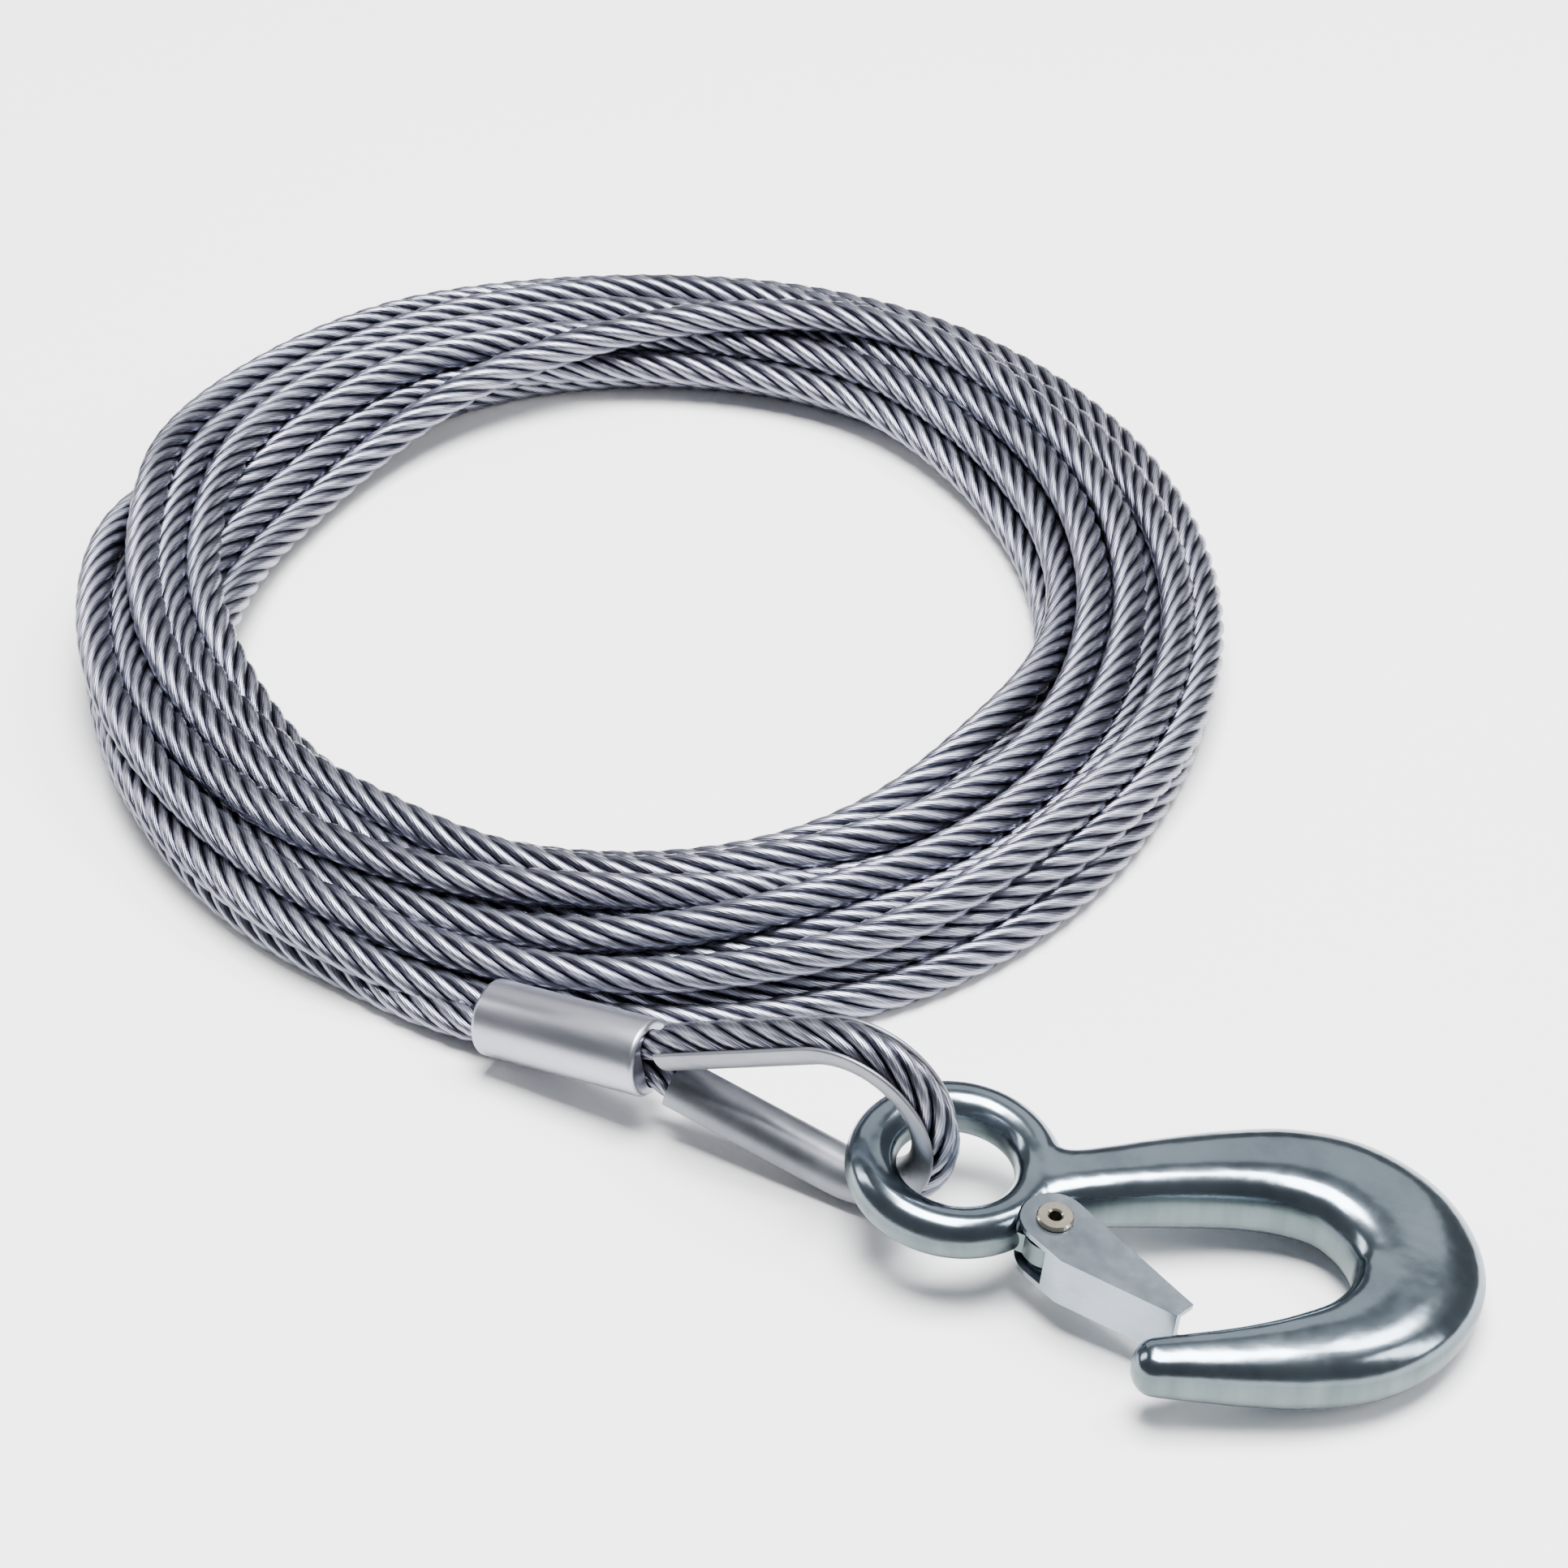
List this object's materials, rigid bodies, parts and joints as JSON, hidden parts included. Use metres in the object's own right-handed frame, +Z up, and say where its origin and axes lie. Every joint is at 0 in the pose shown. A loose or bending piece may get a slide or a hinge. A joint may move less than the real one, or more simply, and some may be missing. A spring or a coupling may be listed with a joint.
{
  "type": "boat trailer winch cable",
  "caption": "Coiled galvanised wire rope for a boat trailer winch, with a pressed ferrule, a thimble eye and a forged snap hook with a sprung latch.",
  "frame": {"origin": "centre of the bottom of the object's bounding box, at floor level", "axes": "+X along the pull line from the coil side to the hook, the object's longest extent; +Y from the pull line towards the coil; +Z up, the coil lies flat"},
  "size_m": [0.2332, 0.1812, 0.0284],
  "materials": {
    "galvanised_rope": "zinc coated wire, satin",
    "ferrule_aluminium": "pressed, satin",
    "thimble_zinc": "zinc plated, satin",
    "hook_zinc": "zinc plated forging, semi-gloss",
    "latch_zinc": "zinc plated sheet, satin",
    "rivet_steel": "nickel plated, satin",
    "spring_steel": "zinc plated wire, bright"
  },
  "bodies": {
    "cable": {"rope_coil": "galvanised_rope", "rope_eye": "galvanised_rope", "ferrule": "ferrule_aluminium", "thimble": "thimble_zinc"},
    "hook": {"snap_hook": "hook_zinc", "latch_rivet": "rivet_steel"},
    "latch": {"latch": "latch_zinc", "latch_spring": "spring_steel"}
  },
  "joints": [
    {"name": "hook_swing", "type": "hinge", "parent": "cable", "child": "hook", "pos_m": [0.05067, -0.07326, 0.0102], "axis": [0, 0, 1], "range_deg": [-105, 60]},
    {"name": "latch_hinge", "type": "hinge", "parent": "hook", "child": "latch", "pos_m": [0.0684, -0.07624, 0.00905], "axis": [0.0845, 0.025, 0.9961], "range_deg": [0, 50], "stiffness_Nm_per_rad": 0.1, "springref_deg": -28.65, "deforming": ["latch_spring"]}
  ]
}
